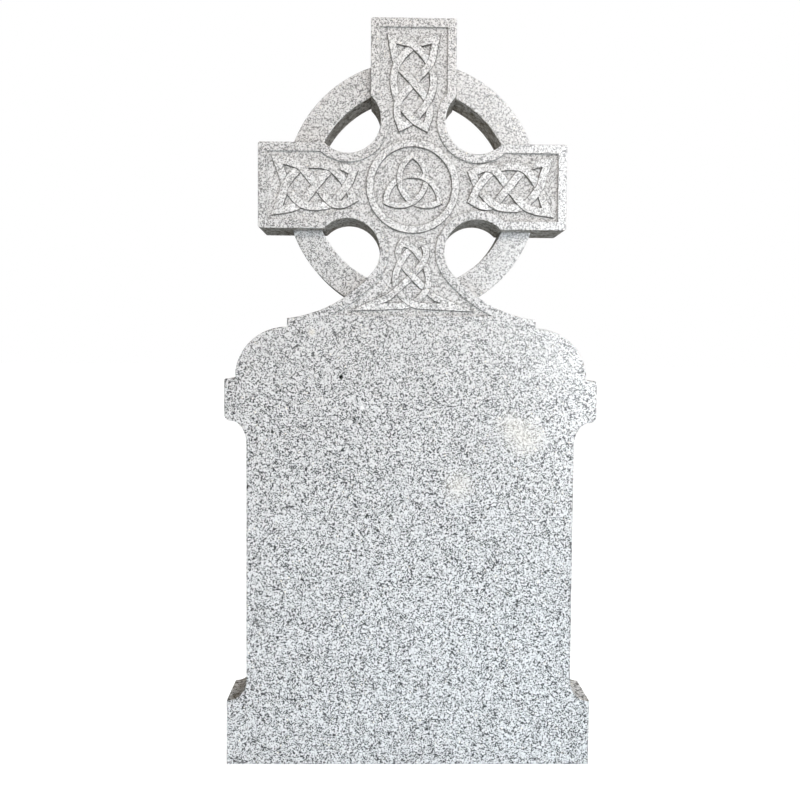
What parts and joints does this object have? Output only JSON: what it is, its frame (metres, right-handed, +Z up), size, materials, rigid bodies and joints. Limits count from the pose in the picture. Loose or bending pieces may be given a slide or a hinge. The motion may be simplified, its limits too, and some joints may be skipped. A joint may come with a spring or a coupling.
{
  "type": "cross headstone",
  "caption": "Upright granite headstone: a plain eared tablet with round shoulders, topped by a ringed cross carved in low relief with interlaced knots. It stands on its own flat foot.",
  "frame": {"origin": "centre of the stone's footprint, on the ground", "axes": "+Z up, +X to the right as one faces the carved side, +Y from the carved face towards the flat back"},
  "size_m": [0.617, 0.1, 1.2368],
  "materials": {
    "granite": "light grey salt-and-pepper granite: rubbed smooth on the face and the tops of the carving, matt and paler in the sunk fields, sawn and darker on the edges"
  },
  "bodies": {
    "root": {"headstone": "granite"}
  },
  "joints": []
}
